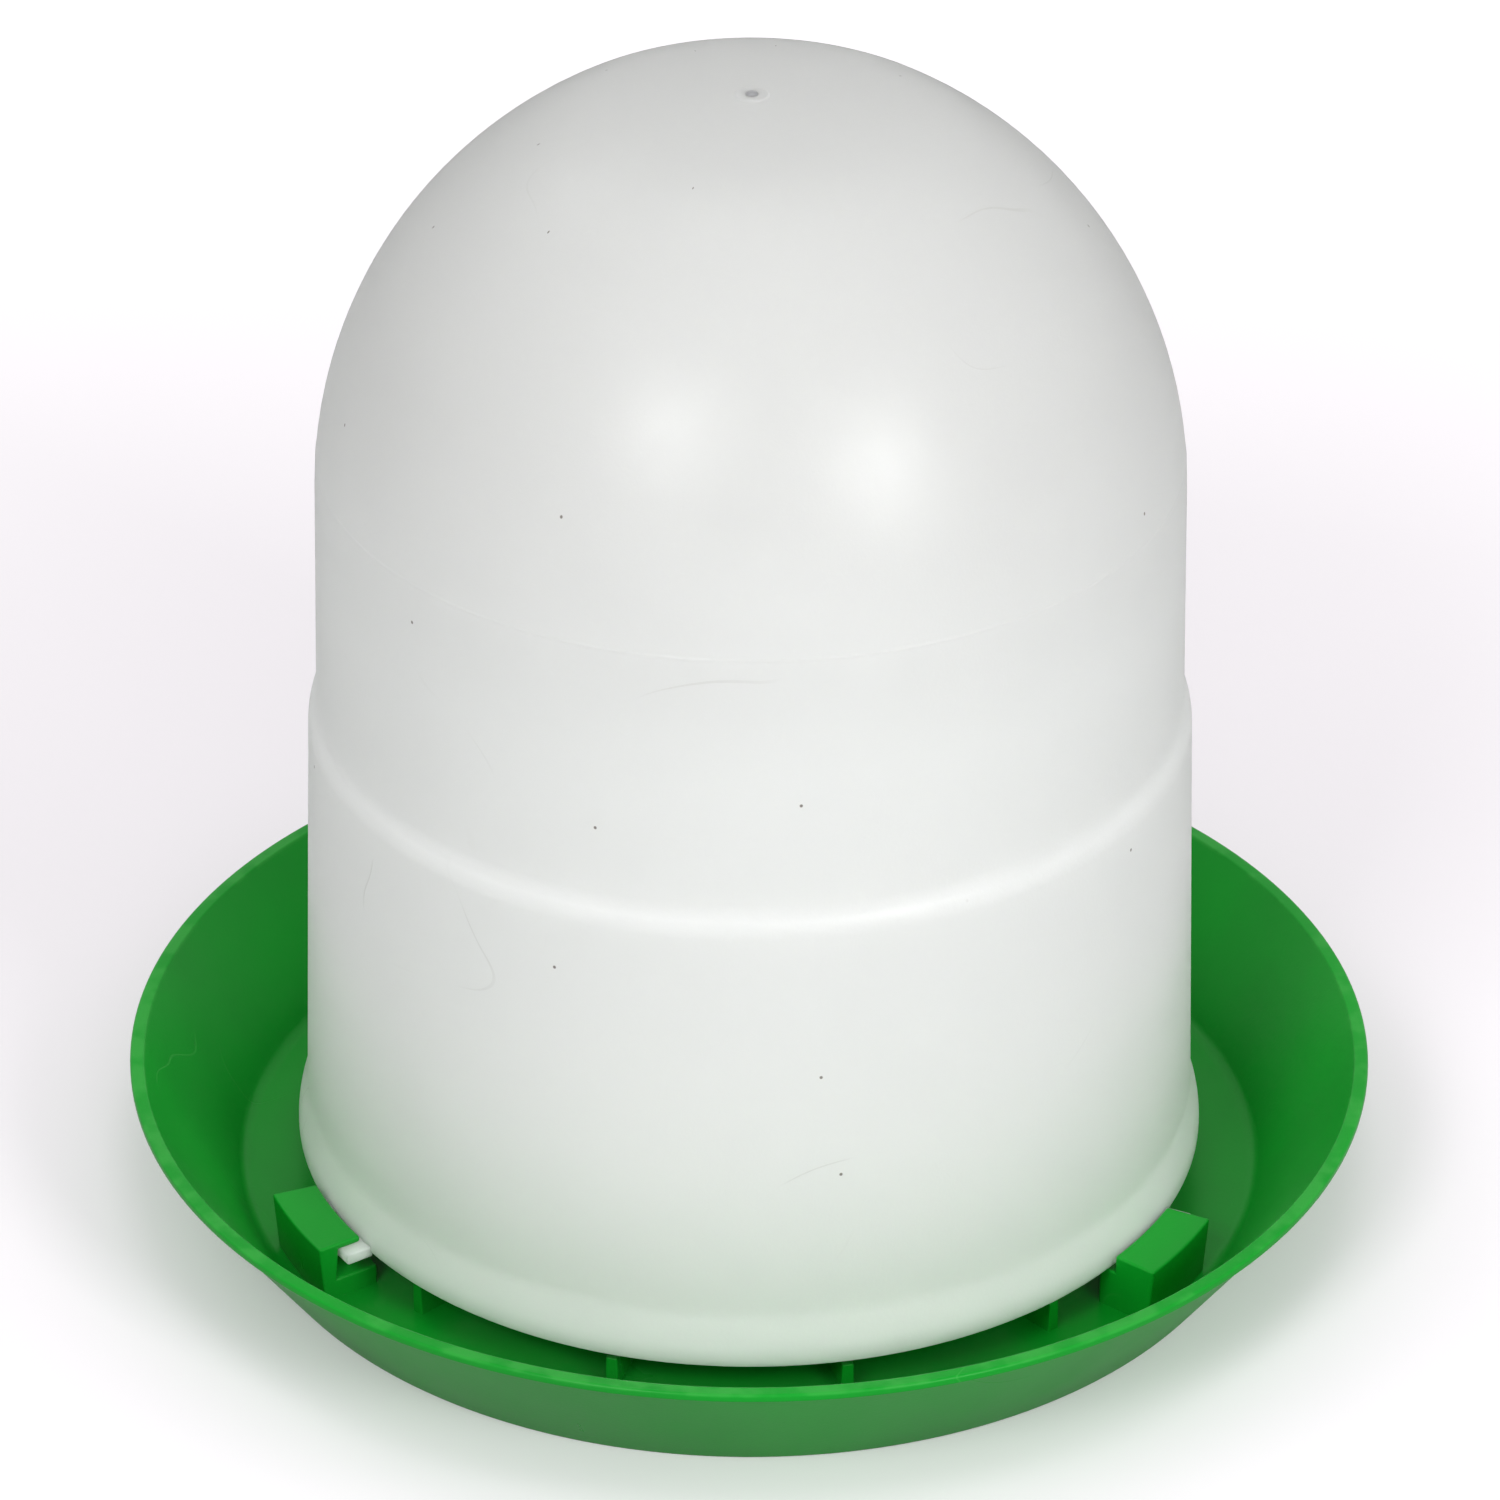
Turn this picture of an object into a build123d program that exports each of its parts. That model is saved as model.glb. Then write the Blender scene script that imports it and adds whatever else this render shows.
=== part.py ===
"""Poultry waterer fount: a domed siphon tank that locks onto a round drinking tray.

Millimetres, +Z up. The origin is on the ground at the centre of the tray's foot, and -Y is the
front. The tank stands mouth down in the tray, and its mouth sets the water level. Three lugs on
the mouth turn into three bayonet clips on the tray's floor. Both halves are plastic mouldings:
each node here is one feature of a moulding, and meets its neighbours face to face.
"""

from math import asin, atan2, cos, degrees, radians, sin
import os

from build123d import *

# --- tray -------------------------------------------------------------------------------------
RIM_R = 110.0               # outermost radius of the whole object
RIM_TOP = 26.3              # height of the tray's lip
RIM_HEIGHT = 1.6            # height of the lip's bead
RIM_FLAT = 2.4              # width of the bead's flat top
RIM_EDGE = 0.5              # rounding of the bead
FOOT_R = 91.2               # outer radius of the tray where it stands
FOOT_WIDTH = 3.7            # width of the ring that touches the ground
FOOT_EDGE = 0.5             # bevel under the outer wall
FLOOR_TOP = 2.8             # height of the trough's floor
FLOOR_WALL = 1.8            # thickness of the floor
TRAY_WALL = 2.5             # thickness of the sloping wall, measured level
TROUGH_FILLET = 3.2         # inner corner between floor and sloping wall
WALL_INSET = 1.1            # how far the wall's top stands in from the bead

PLATEAU_R = 66.0            # radius of the raised centre under the tank
PLATEAU_TOP = 10.0
PLATEAU_EDGE = 1.5          # rounding of the raised centre

RIB_COUNT = 12
RIB_PHASE = -77.4           # direction of the first rib, degrees from +X
RIB_R = 78.0                # outer end of a rib
RIB_TOP = 8.5
RIB_THICKNESS = 2.4
RIB_EDGE = 0.4

# --- bayonet ----------------------------------------------------------------------------------
CLIP_DIRECTIONS = {"right": -32.4, "left": -152.4, "rear": 87.6}   # degrees from +X
CLIP_HALF_SPAN = 6.4        # degrees each side of its centre
CLIP_TOP = 13.7
CLIP_FLANGE = 1.25          # thickness of the flange over the lug
CLIP_R = 89.5               # outer face at the top of a clip
CLIP_LEAN = 0.9             # how far that face comes in at the floor
CLIP_SLOT_R = 85.6          # inner face of the outer wall, under the flange
CLIP_FLANGE_R = 81.3        # inner edge of the flange
CLIP_SHELF_R = 78.0         # inner end of the ramp under the tank's mouth
CLIP_STOP = 1.6             # degrees taken by the closed end wall
CLIP_EDGE = 0.5
RAMP_LOW = 6.4              # ramp height at the open end
RAMP_HIGH = 10.3            # ramp height at the closed end

LUG_R = 85.2
LUG_THICKNESS = 2.1
LUG_DROP = 0.8              # how far a lug reaches below the mouth
LUG_EDGE = 0.6
LUG_GAP = 0.25              # degrees between a lug and the stop it is locked against
LUG_PROUD = 1.4             # degrees a lug stands out of the clip's open end

# --- tank -------------------------------------------------------------------------------------
SHELL_WALL = 1.8
MOUTH_R = 80.5
MOUTH_Z = 10.9              # also the water level
MOUTH_BAND = 2.6            # upright band at the mouth, which carries the lugs
FLARE_TOP = 20.5            # where the flared mouth runs out into the barrel
BARREL_LOW_R = 78.7
STEP_LOW_Z = 95.2           # shoulder that steps the barrel in
STEP_LOW_R = 76.5
STEP_TOP_Z = 99.2
STEP_TOP_R = 74.95
MOULD_LINE_Z = 145.0        # joint line of the mould, between barrel and crown
APEX_Z = 210.5
CROWN_BEND_R = 129.3        # the crown is three tangent arcs: its top,
SHOULDER_BEND_R = 35.0      # its shoulder
HAUNCH_BEND_R = 77.1        # and its haunch
CROWN_ANGLE = 11.6          # slope where the top meets the shoulder, degrees
SHOULDER_ANGLE = 31.4       # slope where the shoulder meets the haunch
HAUNCH_ANGLE = 88.6         # slope where the haunch meets the barrel
GATE_R = 3.0                # flat disc at the apex, where the plastic came in
GATE_HEIGHT = 0.15
PIP_R = 1.1                 # stub left by the sprue
PIP_TOP_R = 0.7
PIP_HEIGHT = 0.4

WALL_TOP = RIM_TOP - RIM_HEIGHT
BIG = 400.0                 # larger than the object, for cutting


def turned(outline):
    """Revolve a closed chain of (radius, height) edges about the upright axis."""
    return revolve(Plane.XZ * make_face(outline), Axis.Z)


def turned_polygon(points, start=0.0, span=360.0):
    """Revolve a closed (radius, height) polygon from one direction through a span, in degrees."""
    face = Plane.XZ * make_face(Polyline(*points, close=True))
    return Rot(Z=start) * revolve(face, Axis.Z, span)


def ring_sector(inner, outer, low, high, start, span):
    """An upright block between two radii, two heights and two directions."""
    return turned_polygon([(inner, low), (outer, low), (outer, high), (inner, high)], start, span)


# --- tray -------------------------------------------------------------------------------------

def wall_radius(height):
    """Outer radius of the tray's sloping wall at a height."""
    top = RIM_R - WALL_INSET
    share = (height - FOOT_EDGE) / (WALL_TOP - FOOT_EDGE)
    return FOOT_R + share * (top - FOOT_R)


def tray_bowl():
    """Ring-shaped floor, foot ring and sloping wall, up to the lip."""
    underside = FLOOR_TOP - FLOOR_WALL
    points = [
        (PLATEAU_R, underside),
        (FOOT_R - FOOT_WIDTH - underside, underside),
        (FOOT_R - FOOT_WIDTH, 0),
        (FOOT_R - FOOT_EDGE, 0),
        (FOOT_R, FOOT_EDGE),
        (wall_radius(WALL_TOP), WALL_TOP),
        (wall_radius(WALL_TOP) - TRAY_WALL, WALL_TOP),
        (wall_radius(FLOOR_TOP) - TRAY_WALL, FLOOR_TOP),
        (PLATEAU_R, FLOOR_TOP),
    ]
    bowl = turned_polygon(points)
    circles = bowl.edges().filter_by(GeomType.CIRCLE)
    at_floor = circles.filter_by_position(Axis.Z, FLOOR_TOP - 0.1, FLOOR_TOP + 0.1)
    corner = at_floor.sort_by(SortBy.RADIUS)[-1]
    return fillet(corner, TROUGH_FILLET)


def tray_rim():
    """Bead round the top of the wall, standing a little proud of it."""
    inner = wall_radius(WALL_TOP) - TRAY_WALL
    points = [
        (inner, WALL_TOP),
        (RIM_R - RIM_EDGE, WALL_TOP),
        (RIM_R, WALL_TOP + RIM_EDGE),
        (RIM_R, RIM_TOP - RIM_EDGE),
        (RIM_R - RIM_EDGE, RIM_TOP),
        (RIM_R - RIM_FLAT + RIM_EDGE, RIM_TOP),
        (RIM_R - RIM_FLAT, RIM_TOP - RIM_EDGE / 2),
    ]
    return turned_polygon(points)


def tray_plateau():
    """Raised centre of the tray, hollow underneath."""
    inner = PLATEAU_R - FLOOR_WALL
    ceiling = PLATEAU_TOP - FLOOR_WALL
    points = [
        (0, ceiling),
        (inner, ceiling),
        (inner, FLOOR_TOP - FLOOR_WALL),
        (PLATEAU_R, FLOOR_TOP - FLOOR_WALL),
        (PLATEAU_R, PLATEAU_TOP - PLATEAU_EDGE),
        (PLATEAU_R - PLATEAU_EDGE, PLATEAU_TOP),
        (0, PLATEAU_TOP),
    ]
    return turned_polygon(points)


def tray_rib(direction):
    """Upright fin from the raised centre out to just inside the tank's mouth."""
    length = RIB_R - PLATEAU_R + RIB_THICKNESS
    height = RIB_TOP - FLOOR_TOP
    block = Pos(RIB_R - length / 2, 0, FLOOR_TOP + height / 2) * Box(length, RIB_THICKNESS, height)
    top = block.edges().filter_by(Axis.X).group_by(Axis.Z)[-1]
    block = fillet(top + block.edges().filter_by(Axis.Y).group_by(Axis.Z)[-1][-1:], RIB_EDGE)
    return Rot(Z=direction) * (block - Cylinder(PLATEAU_R, BIG))


# --- bayonet ----------------------------------------------------------------------------------

def ramp_block(start, span):
    """Floor of a clip's slot: a ramp that climbs from the open end to the closed one."""
    middle = radians(start + span / 2)
    half_run = CLIP_SLOT_R * radians(span) / 2
    climb = degrees(atan2(RAMP_HIGH - RAMP_LOW, 2 * half_run))
    block = ring_sector(CLIP_SHELF_R, CLIP_R - 2 * CLIP_LEAN, FLOOR_TOP, CLIP_TOP, start, span)
    place = Pos(CLIP_SLOT_R * cos(middle), CLIP_SLOT_R * sin(middle), (RAMP_LOW + RAMP_HIGH) / 2)
    above = place * Rot(Z=degrees(middle)) * Rot(X=-climb) * Pos(0, 0, BIG / 2) * Box(BIG, BIG, BIG)
    return block - above


def bayonet_clip(direction):
    """C-shaped clip on the trough's floor, open at its counter-clockwise end."""
    start = direction - CLIP_HALF_SPAN
    span = 2 * CLIP_HALF_SPAN
    slot_top = CLIP_TOP - CLIP_FLANGE
    hook = turned_polygon([
        (CLIP_SLOT_R + CLIP_LEAN, FLOOR_TOP),
        (CLIP_R - CLIP_LEAN, FLOOR_TOP),
        (CLIP_R, CLIP_TOP - CLIP_EDGE),
        (CLIP_R - CLIP_EDGE, CLIP_TOP),
        (CLIP_FLANGE_R, CLIP_TOP),
        (CLIP_FLANGE_R, slot_top),
        (CLIP_SLOT_R, slot_top),
    ], start, span)
    stop = ring_sector(CLIP_FLANGE_R, CLIP_SLOT_R + CLIP_LEAN, FLOOR_TOP, slot_top, start, CLIP_STOP)
    return hook + stop + ramp_block(start, span)


def bayonet_lug(direction):
    """Flat tab on the tank's mouth, shown locked against its clip's closed end."""
    start = direction - CLIP_HALF_SPAN + CLIP_STOP + LUG_GAP
    span = direction + CLIP_HALF_SPAN + LUG_PROUD - start
    low = MOUTH_Z - LUG_DROP
    top = low + LUG_THICKNESS
    return turned_polygon([
        (MOUTH_R, low),
        (LUG_R - LUG_EDGE, low),
        (LUG_R, low + LUG_EDGE),
        (LUG_R - LUG_EDGE / 4, top),
        (MOUTH_R, top),
    ], start, span)


# --- tank -------------------------------------------------------------------------------------

def eased(low, high):
    """Two equal arcs that ease from one upright run to another, as a pair of edges."""
    middle = ((low[0] + high[0]) / 2, (low[1] + high[1]) / 2)
    return [TangentArc(low, middle, tangent=(0, 1)), TangentArc(high, middle, tangent=(0, -1))]


def crown_arcs(inset):
    """Points of the three crown arcs at an inset from the outside, from the haunch to the apex."""
    bends = [CROWN_BEND_R, SHOULDER_BEND_R, HAUNCH_BEND_R]
    slopes = [0.0, CROWN_ANGLE, SHOULDER_ANGLE, HAUNCH_ANGLE]
    centre = (0.0, APEX_Z - CROWN_BEND_R)
    arcs = []
    for index, bend in enumerate(bends):
        if index:
            shift = bends[index - 1] - bend
            slope = radians(slopes[index])
            centre = (centre[0] + shift * sin(slope), centre[1] + shift * cos(slope))
        angles = [slopes[index + 1], (slopes[index] + slopes[index + 1]) / 2, slopes[index]]
        arcs.append([(centre[0] + (bend - inset) * sin(radians(angle)),
                      centre[1] + (bend - inset) * cos(radians(angle))) for angle in angles])
    return arcs[::-1]


def shell_outline(inset):
    """One side of the shell from the mouth to the apex, as edges, and its two end points."""
    mouth = (MOUTH_R - inset, MOUTH_Z)
    band = (MOUTH_R - inset, MOUTH_Z + MOUTH_BAND)
    flare = (BARREL_LOW_R - inset, FLARE_TOP)
    step_low = (STEP_LOW_R - inset, STEP_LOW_Z)
    step_top = (STEP_TOP_R - inset, STEP_TOP_Z)
    arcs = crown_arcs(inset)
    edges = [Line(mouth, band), Line(band, flare), Line(flare, step_low),
             *eased(step_low, step_top), Line(step_top, arcs[0][0])]
    edges += [ThreePointArc(*arc) for arc in arcs]
    return edges, mouth, arcs[-1][-1]


def fount_shell():
    """The whole tank: a thin bell, open at its mouth."""
    outside, outer_mouth, outer_apex = shell_outline(0.0)
    inside, inner_mouth, inner_apex = shell_outline(SHELL_WALL)
    closing = [Line(outer_mouth, inner_mouth), Line(outer_apex, inner_apex)]
    gate_low = APEX_Z - GATE_R * sin(asin(GATE_R / CROWN_BEND_R))
    gate = Pos(0, 0, gate_low) * Cylinder(GATE_R, APEX_Z + GATE_HEIGHT - gate_low,
                                          align=(Align.CENTER, Align.CENTER, Align.MIN))
    return turned(outside + inside + closing) + gate


def above_mould_line():
    """Everything higher than the mould's joint line."""
    return Pos(0, 0, MOULD_LINE_Z + BIG / 2) * Box(BIG, BIG, BIG)


def gate_pip():
    """Stub of the sprue, standing on the disc at the apex."""
    return Pos(0, 0, APEX_Z + GATE_HEIGHT) * Cone(PIP_R, PIP_TOP_R, PIP_HEIGHT,
                                                 align=(Align.CENTER, Align.CENTER, Align.MIN))


def all_nodes():
    """Every sub-part by its node name."""
    shell = fount_shell()
    nodes = {
        "tray_bowl": tray_bowl(),
        "tray_rim": tray_rim(),
        "tray_plateau": tray_plateau(),
        "fount_barrel": shell - above_mould_line(),
        "fount_crown": shell & above_mould_line(),
        "gate_pip": gate_pip(),
    }
    for index in range(RIB_COUNT):
        direction = RIB_PHASE + index * 360 / RIB_COUNT
        nodes[f"tray_rib_{index + 1:02d}"] = tray_rib(direction)
    for side, direction in CLIP_DIRECTIONS.items():
        nodes[f"bayonet_clip_{side}"] = bayonet_clip(direction)
        nodes[f"bayonet_lug_{side}"] = bayonet_lug(direction)
    return nodes


def main():
    os.makedirs("parts", exist_ok=True)
    for name, shape in all_nodes().items():
        export_step(shape, f"parts/{name}.step")


if __name__ == "__main__":
    main()
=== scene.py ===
"""Looks of a poultry waterer fount, laid out as an add-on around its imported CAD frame.

Every piece is a surface worked out with numpy, in metres, in the frame's own axes: +Z up, the
origin on the ground at the centre of the tray, and -Y the front. The white tank with its lugs
and gate stub rides on the body that turns, and the green tray with its ribs and clips on the
body that stands.
"""

import bpy
import bmesh
import numpy as np
from bpy.props import FloatProperty, FloatVectorProperty, PointerProperty
from mathutils import Matrix, Vector


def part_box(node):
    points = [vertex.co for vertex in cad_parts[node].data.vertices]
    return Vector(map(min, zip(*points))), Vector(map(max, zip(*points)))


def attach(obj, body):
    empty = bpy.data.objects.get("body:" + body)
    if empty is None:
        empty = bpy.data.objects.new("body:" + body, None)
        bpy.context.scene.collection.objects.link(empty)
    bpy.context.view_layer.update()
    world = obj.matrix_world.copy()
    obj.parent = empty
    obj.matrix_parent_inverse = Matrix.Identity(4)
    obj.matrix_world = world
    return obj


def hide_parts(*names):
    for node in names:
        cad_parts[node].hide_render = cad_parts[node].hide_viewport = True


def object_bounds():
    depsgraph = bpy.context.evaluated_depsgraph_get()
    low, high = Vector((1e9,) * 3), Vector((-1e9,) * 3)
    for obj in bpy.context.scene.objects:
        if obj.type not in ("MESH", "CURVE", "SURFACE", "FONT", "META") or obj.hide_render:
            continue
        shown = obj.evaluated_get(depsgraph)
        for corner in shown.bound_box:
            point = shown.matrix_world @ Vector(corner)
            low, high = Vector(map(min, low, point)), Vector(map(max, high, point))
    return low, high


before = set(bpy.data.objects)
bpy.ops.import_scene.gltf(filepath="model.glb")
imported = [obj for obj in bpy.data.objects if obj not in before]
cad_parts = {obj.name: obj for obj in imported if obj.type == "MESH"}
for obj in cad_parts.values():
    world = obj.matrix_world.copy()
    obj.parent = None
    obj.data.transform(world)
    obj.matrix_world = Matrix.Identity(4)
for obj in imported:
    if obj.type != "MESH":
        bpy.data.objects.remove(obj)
cad_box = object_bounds()

bl_info = {
    "name": "Poultry waterer fount",
    "version": (1, 0, 0),
    "blender": (4, 5, 0),
    "location": "3D View > Sidebar > Waterer",
    "description": "Builds a siphon drinker for poultry: a white tank locked onto a green tray",
    "category": "Object",
}

MM = 0.001
TRAY = "tray"               # the body that stands
TANK = "fount"              # the body that turns
GREEN = "green_plastic"     # the record's material slots
WHITE = "white_plastic"
SKIN = "skin"               # UV map in metres: round the axis, and along the outline
SIDES = {"right": 0, "rear": 1, "left": 2}     # clips in order, a third of a turn apart
JOINED = 1e-6               # points nearer than this are one point
TURN_STEPS = 240            # facets round a lathed piece
STUB_STEPS = 32             # facets round the small gate stub
CORNER_STEPS = 6            # facets round a rounded corner
EASE_STEPS = 24             # facets along an ease between two upright runs
ARC_STEPS = 26              # points along each arc of the dome
LUG_STEPS = 15              # sections along a lug
SLOT_STEPS = 13             # sections along a clip's slot
RIB_STEPS = 4               # sections along a rib
RIB_COUNT = 12
SEAM_STEPS = 17             # extra points across the mould's joint line
SEAM_REACH = 0.012          # slope, in radians, that they cover each side of it
SEAM_SPREAD = 0.22 * MM     # half width of the ridge there
GATE_MARGIN = 0.4 * MM      # dome left out round the gate disc, for its edge to run into
GATE_BLEND = 0.5 * MM       # rounding of that edge
SOFT_EDGE = 0.3 * MM        # rounding of the lugs' and ribs' edges
LUG_RIM = 0.55 * MM         # rounding under a lug's outer face
BEVEL_SEGMENTS = 3
SHARP = np.radians(35)      # edges that turn by more than this are rounded
FLOOR_RINGS = (0.0, 0.5, 1.0, 2.0, 4.0)
FLOOR_STEPS = 64
FLOOR_GAP = 0.02 * MM       # floor below the foot, so that the two don't share a plane
SENSOR_WIDTH = 36.0         # millimetres
# roundings of the tray's corners, in millimetres, from its centre out, round the lip and back
TRAY_EDGES = {
    "centre_top": 1.5, "centre_foot": 1.0, "lip_inner": 0.45, "lip_outer": 0.55, "lip_low": 0.5,
    "lip_root": 0.25, "foot_outer": 0.9, "foot_inner": 0.4, "foot_root": 0.4,
    "hollow_rim": 0.3, "hollow_top": 0.6,
}


def reach(node):
    """Greatest distance of a CAD node from the upright axis."""
    points = np.empty(len(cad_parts[node].data.vertices) * 3)
    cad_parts[node].data.vertices.foreach_get("co", points)
    return float(np.hypot(points[0::3], points[1::3]).max())


# --- values that a user would change -----------------------------------------------------------

def length(name, default, description):
    """A size in metres, given in millimetres."""
    return FloatProperty(name=name, default=default * MM, description=description,
                         subtype="DISTANCE", unit="LENGTH", precision=4)


def angle(name, default, description):
    """An angle in radians, given in degrees."""
    return FloatProperty(name=name, default=np.radians(default), description=description,
                         subtype="ANGLE", unit="ROTATION")


def share(name, default, description):
    """A plain number from 0 to 1."""
    return FloatProperty(name=name, default=default, min=0.0, max=1.0, description=description,
                         subtype="FACTOR")


def colour(name, default, description):
    """A linear red, green and blue."""
    return FloatVectorProperty(name=name, default=default, size=3, min=0.0, max=1.0,
                               description=description, subtype="COLOR")


class TankSettings(bpy.types.PropertyGroup):
    wall: length("Wall", 1.8, "Thickness of the tank's wall")
    mouth_band: length("Mouth band", 2.6, "Upright band at the mouth, where the lugs are")
    flare: length("Flare height", 7.0, "Height over which the mouth flares out of the barrel")
    flare_bend: length("Flare bend", 12.0, "Rounding where the flare starts and ends")
    barrel_radius: length("Barrel radius", 78.7, "Radius of the barrel just above the flare")
    step_height: length("Step height", 93.4, "Height at which the barrel steps in")
    step_rise: length("Step rise", 6.4, "Height that the step takes")
    below_step: length("Radius below step", 76.5, "Barrel radius just below the step")
    above_step: length("Radius above step", 74.95, "Barrel radius just above the step")
    crown_bend: length("Crown bend", 129.3, "Radius of curvature of the flattened top")
    shoulder_bend: length("Shoulder bend", 35.0, "Radius of curvature round the flattened top")
    haunch_bend: length("Haunch bend", 77.1, "Radius of curvature of the dome's side")
    crown_slope: angle("Crown slope", 11.6, "Slope where the flattened top ends")
    shoulder_slope: angle("Shoulder slope", 31.4, "Slope where the dome's side starts")
    haunch_slope: angle("Haunch slope", 88.6, "Slope where the dome runs into the barrel")
    gate_radius: length("Gate radius", 3.0, "Radius of the flat disc at the top")
    gate_height: length("Gate height", 0.15, "Height of that disc")
    gate_ease: length("Gate ease", 0.35, "Width over which that disc runs out into the dome")
    edge: length("Edge", 0.5, "Rounding of the mouth's edges")
    seam: length("Seam", 0.07, "Height of the fine ridge along the mould's joint line")
    # Painted light and shade: the mouth's colour is lighter and the crown's darker than the barrel's,
    # standing in for how light falls on the tank.
    lit_mouth_tone: colour("Milk", (0.775, 0.785, 0.765), "Colour of the plastic at the thick mouth")
    body: colour("Body", (0.725, 0.735, 0.725), "Colour of the plastic along the barrel")
    shaded_crown_tone: colour("Haze", (0.59, 0.594, 0.585), "Colour of the plastic at the thin crown")
    depth: length("Light depth", 8.0, "How far light travels inside the plastic")
    gloss: share("Roughness", 0.36, "Roughness of the moulded surface")
    relief: length("Relief", 0.35, "Height of the surface's unevenness")
    scratch: colour("Scratch", (0.45, 0.45, 0.42), "Colour of the hairlines")
    speck: colour("Speck", (0.09, 0.07, 0.05), "Colour of the specks")


class LockSettings(bpy.types.PropertyGroup):
    first: angle("First clip", -32.4, "Direction of the right clip, counter-clockwise from +X")
    half_span: angle("Half span", 6.4, "Half of the arc that a clip covers")
    stop: angle("Stop", 1.6, "Arc of the wall that closes a clip's end")
    lug_gap: angle("Lug gap", 0.25, "Arc between a lug and the stop it is turned against")
    lug_proud: angle("Lug proud", 1.4, "Arc by which a lug stands out of its clip")
    flange: length("Flange", 1.25, "Thickness of the flange over the lug")
    flange_radius: length("Flange radius", 81.3, "Inner edge of that flange")
    slot_radius: length("Slot radius", 85.6, "Inner face of a clip's outer wall")
    lean: length("Lean", 0.9, "How far a clip's outer face comes in at the floor")
    shelf_radius: length("Shelf radius", 78.0, "Inner end of the ramp under the mouth")
    ramp_low: length("Ramp low", 6.4, "Height of the ramp at the open end")
    ramp_high: length("Ramp high", 10.3, "Height of the ramp at the closed end")
    bevel: length("Bevel", 0.48, "Rounding of a clip's edges")


class TraySettings(bpy.types.PropertyGroup):
    wall: length("Wall", 2.5, "Thickness of the sloping wall, measured level")
    floor_top: length("Floor height", 2.8, "Height of the trough's floor")
    floor_wall: length("Floor thickness", 1.8, "Thickness of the floor")
    foot_radius: length("Foot radius", 91.2, "Outer radius of the tray where it stands")
    foot_width: length("Foot width", 3.7, "Width of the ring that touches the ground")
    lip_height: length("Lip height", 1.6, "Height of the bead round the top")
    lip_width: length("Lip width", 2.4, "Width of the bead's top")
    lip_inset: length("Lip inset", 1.1, "How far the wall stands in under the bead")
    trough_bend: length("Trough bend", 3.2, "Rounding between floor and wall")
    rib_thickness: length("Rib thickness", 2.4, "Thickness of a rib at its foot")
    rib_draft: length("Rib draft", 0.35, "How much thinner a rib is at its top")
    rib_first: angle("First rib", -77.4, "Direction of the first rib, counter-clockwise from +X")
    leaf: colour("Leaf", (0.003, 0.32, 0.020), "Main green of the plastic")
    moss: colour("Moss", (0.005, 0.275, 0.020), "Duller green of its clouds")
    # This pale green serves the hairlines and the painted highlight along the lip's top.
    hairline_and_highlight: colour("Worn", (0.06, 0.42, 0.07), "Pale green of rubbed edges")
    gloss: share("Roughness", 0.30, "Roughness of the moulded surface")
    relief: length("Relief", 0.3, "Height of the surface's unevenness")
    # Depth of the painted highlight along the lip's top.
    lip_highlight_depth: length("Rub depth", 0.7, "How far down from its top the lip is rubbed")


class StudioSettings(bpy.types.PropertyGroup):
    elevation: angle("Elevation", 30.49, "Camera height above the horizon")
    roll: angle("Roll", 0.17, "Turn of the camera about its line of sight")
    distance: length("Distance", 1235.3, "Camera to the point it looks at")
    aim: length("Aim height", 85.04, "Height of the point the camera looks at")
    lens: FloatProperty(name="Lens", default=170.43, description="Focal length in millimetres")
    ground: colour("Ground", (0.92, 0.88, 0.92), "Colour of the floor")
    bounce: colour("Bounce", (0.56, 0.56, 0.56), "Share of light that the floor throws back up")
    sheen: colour("Sheen", (0.09, 0.09, 0.09), "Glow of the floor close to the object")
    far_sheen: colour("Far sheen", (0.33, 0.33, 0.33), "Glow that keeps the far floor white")
    light_size: length("Light size", 450.0, "Side of a soft light")
    light_distance: length("Light distance", 1500.0, "Soft light to the object's middle")
    daylight: colour("Daylight", (1.0, 1.0, 1.0), "Colour of the light all round")
    ambient: FloatProperty(name="Ambient", default=0.60, description="Strength of that light")


class WatererSettings(bpy.types.PropertyGroup):
    tank: PointerProperty(type=TankSettings, name="Tank")
    lock: PointerProperty(type=LockSettings, name="Lock")
    tray: PointerProperty(type=TraySettings, name="Tray")
    studio: PointerProperty(type=StudioSettings, name="Studio")


# --- outlines ----------------------------------------------------------------------------------

def bend(centre, radius, slopes):
    """Arc of an outline: centre + radius * (sin slope, cos slope), slope 0 at its top."""
    return np.column_stack([centre[0] + radius * np.sin(slopes), centre[1] + radius * np.cos(slopes)])


def eased(start, end, steps=EASE_STEPS):
    """Ease between two upright runs by two equal arcs that meet halfway.

    Each arc turns by 2 atan(width / height), so its radius is half the height over the sine of
    that; the second arc is the first one turned half round about the middle.
    """
    start = np.array(start)
    end = np.array(end)
    width, height = (end - start) / 2
    turn = 2 * np.arctan2(width, height)
    radius = height / np.sin(turn)
    angles = np.linspace(0, turn, steps // 2 + 1)
    first = start + radius * np.column_stack([1 - np.cos(angles), np.sin(angles)])
    second = (start + end) - first[::-1]
    return np.vstack([first, second[1:]])


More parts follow.
